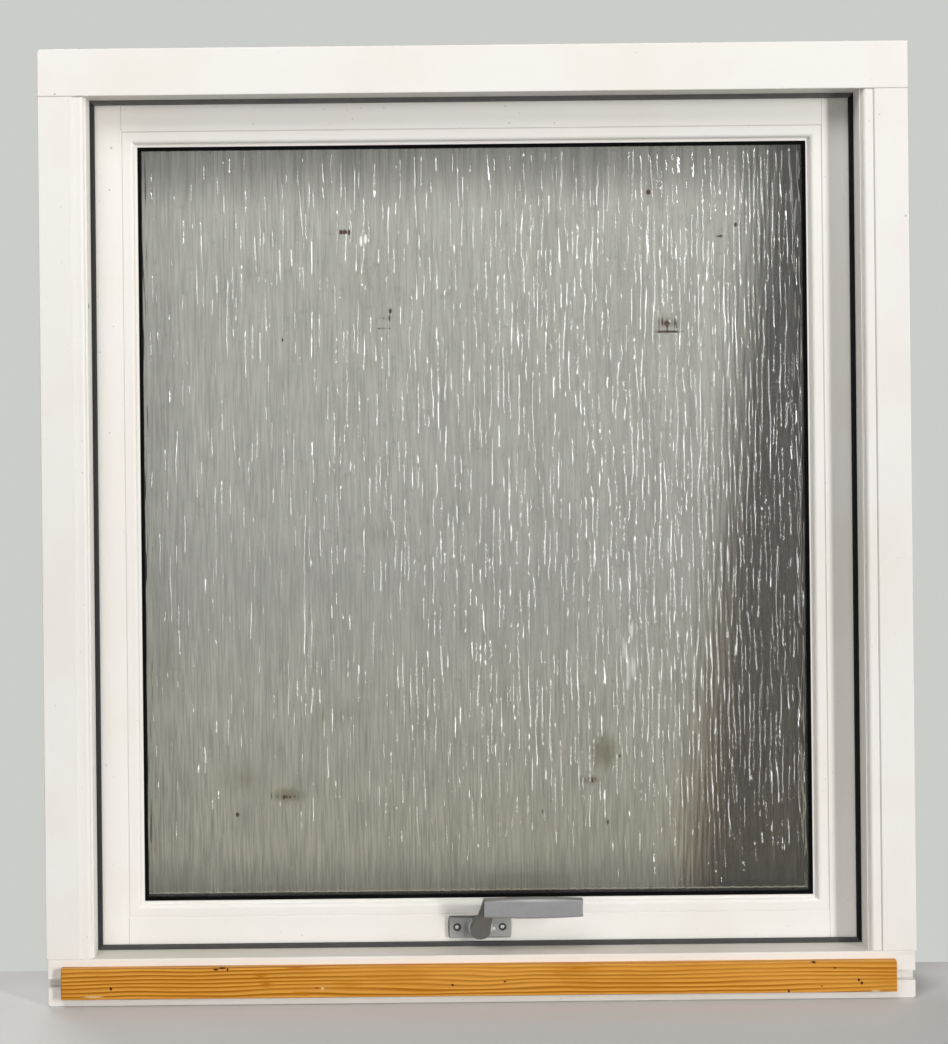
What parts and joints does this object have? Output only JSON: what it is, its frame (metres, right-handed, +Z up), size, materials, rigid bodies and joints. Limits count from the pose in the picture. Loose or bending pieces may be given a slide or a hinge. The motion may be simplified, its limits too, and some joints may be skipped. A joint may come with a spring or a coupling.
{
  "type": "window",
  "caption": "White painted timber window with patterned obscured double glazing, dark weather seals, a pine strip on the sill and a satin grey lever handle on the bottom rail.",
  "frame": {"origin": "middle of the frame's underside, at half its depth", "axes": "+X to the right seen from the room, +Y from the room to the outside, +Z up"},
  "size_m": [0.9, 0.1145, 0.99],
  "materials": {
    "paint": "satin white paint",
    "weather_seal": "matte",
    "glazing_seal": "matte",
    "patterned_glass": "ridged pattern",
    "clear_glass": "clear",
    "spacer": "matte",
    "stay_steel": "zinc plated",
    "handle_metal": "satin grey",
    "pine": "lacquered pine"
  },
  "bodies": {
    "window": {"frame_head": "paint", "frame_sill": "paint", "frame_jamb_left": "paint", "frame_jamb_right": "paint", "frame_seal_top": "weather_seal", "frame_seal_bottom": "weather_seal", "frame_seal_left": "weather_seal", "frame_seal_right": "weather_seal", "sash_rail_top": "paint", "sash_rail_bottom": "paint", "sash_stile_left": "paint", "sash_stile_right": "paint", "glazing_seal_top": "glazing_seal", "glazing_seal_bottom": "glazing_seal", "glazing_seal_left": "glazing_seal", "glazing_seal_right": "glazing_seal", "outer_bead_top": "paint", "outer_bead_bottom": "paint", "outer_bead_left": "paint", "outer_bead_right": "paint", "pane_inner": "patterned_glass", "pane_outer": "clear_glass", "pane_spacer": "spacer", "stay_left": "stay_steel", "stay_right": "stay_steel", "handle_plate": "handle_metal", "sill_strip": "pine"},
    "handle": {"handle_lever": "handle_metal"}
  },
  "joints": [
    {"name": "handle_turn", "type": "hinge", "parent": "window", "child": "handle", "pos_m": [0, -0.0185, 0.069], "axis": [0, -1, 0], "range_deg": [0, 90]}
  ]
}
